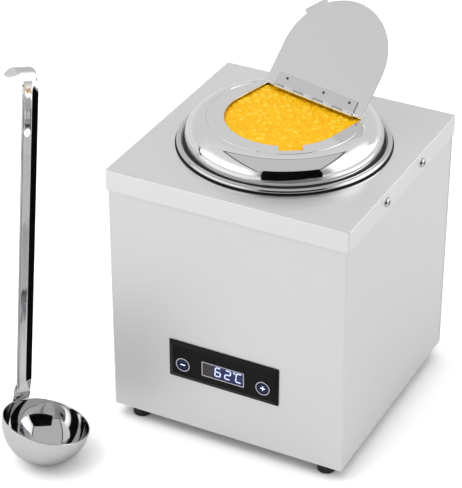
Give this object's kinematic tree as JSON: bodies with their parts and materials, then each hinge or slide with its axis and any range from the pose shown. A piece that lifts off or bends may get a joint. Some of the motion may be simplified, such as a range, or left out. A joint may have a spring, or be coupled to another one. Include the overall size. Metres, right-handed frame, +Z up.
{
  "type": "soup kettle warmer",
  "caption": "Square stainless table-top soup kettle with a lift-out pot, a domed lid with a hinged flap and a ladle notch, a display panel with push buttons, and a ladle beside it.",
  "frame": {"origin": "middle of the footprint of the whole set, kettle and ladle, on the surface it stands on", "axes": "+X to the kettle's right as seen from its panel, +Y to its back, +Z up"},
  "size_m": [0.3822, 0.396, 0.3893],
  "materials": {
    "brushed_stainless": "satin brushed stainless sheet",
    "polished_stainless": "mirror-polished stainless steel",
    "hinge_stainless": "bright rolled stainless",
    "screw_steel": "bright plated steel",
    "galvanised_sheet": "dull zinc-coated sheet",
    "cast_aluminium": "as cast",
    "black_rubber": "matte moulded rubber",
    "black_plastic": "fine satin moulding",
    "smoked_window": "smoked, glossy",
    "button_blue": "dark blue with a white ring",
    "board_green": "coated circuit board",
    "insulation_wool": "mineral wool felt",
    "white_plastic": "moulded",
    "lead_insulation": "silicone sleeving"
  },
  "bodies": {
    "case": {"top_cover": "brushed_stainless", "casing_wrap": "brushed_stainless", "rear_panel": "brushed_stainless", "heating_well": "brushed_stainless", "foot_screw_front_left": "screw_steel", "foot_screw_front_right": "screw_steel", "foot_screw_rear_left": "screw_steel", "foot_screw_rear_right": "screw_steel", "skirt_screw_left_front": "screw_steel", "skirt_screw_left_rear": "screw_steel", "skirt_screw_right_front": "screw_steel", "skirt_screw_right_rear": "screw_steel", "rear_screw_left_lower": "screw_steel", "rear_screw_left_upper": "screw_steel", "rear_screw_right_lower": "screw_steel", "rear_screw_right_upper": "screw_steel", "clamp_bolt": "screw_steel", "heating_element": "screw_steel", "temperature_probe": "screw_steel", "base_plate": "galvanised_sheet", "element_clamp": "galvanised_sheet", "transformer": "galvanised_sheet", "heater_plate": "cast_aluminium", "foot_front_left": "black_rubber", "foot_front_right": "black_rubber", "foot_rear_left": "black_rubber", "foot_rear_right": "black_rubber", "panel_bezel": "black_plastic", "display_module": "black_plastic", "relay": "black_plastic", "thermal_cutout": "black_plastic", "cord_gland": "black_plastic", "gland_nut": "black_plastic", "display_window": "smoked_window", "control_board": "board_green", "power_board": "board_green", "insulation_sleeve": "insulation_wool", "terminal_block": "white_plastic", "heater_lead_live": "lead_insulation", "heater_lead_neutral": "lead_insulation"},
    "pot": {"soup_pot": "polished_stainless"},
    "lid": {"lid_dome": "polished_stainless", "hinge_lid_leaf": "hinge_stainless", "hinge_pin": "hinge_stainless", "lid_rivet_1": "hinge_stainless", "lid_rivet_2": "hinge_stainless", "lid_rivet_3": "hinge_stainless"},
    "flap": {"flap_plate": "brushed_stainless", "hinge_flap_leaf": "hinge_stainless", "flap_rivet_1": "hinge_stainless", "flap_rivet_2": "hinge_stainless", "flap_rivet_3": "hinge_stainless"},
    "left_button": {"button_left": "button_blue"},
    "right_button": {"button_right": "button_blue"},
    "ladle": {"ladle_bowl": "polished_stainless", "ladle_handle": "polished_stainless"}
  },
  "joints": [
    {"name": "pot_lift", "type": "slide", "parent": "case", "child": "pot", "axis": [0, 0, 1], "range_m": [0, 0.2]},
    {"name": "lid_lift", "type": "slide", "parent": "pot", "child": "lid", "axis": [0, 0, 1], "range_m": [0, 0.15]},
    {"name": "flap_hinge", "type": "hinge", "parent": "lid", "child": "flap", "pos_m": [0.07509, 0.09746, 0.311], "axis": [0.9697, -0.2443, 0], "range_deg": [0, 131.2]},
    {"name": "left_button_press", "type": "slide", "parent": "case", "child": "left_button", "axis": [0, 1, 0], "range_m": [0, 0.001], "stiffness_N_per_m": 400},
    {"name": "right_button_press", "type": "slide", "parent": "case", "child": "right_button", "axis": [0, 1, 0], "range_m": [0, 0.001], "stiffness_N_per_m": 400},
    {"name": "ladle_lift", "type": "slide", "parent": "case", "child": "ladle", "axis": [0, 0, 1], "range_m": [0, 0.1]}
  ]
}
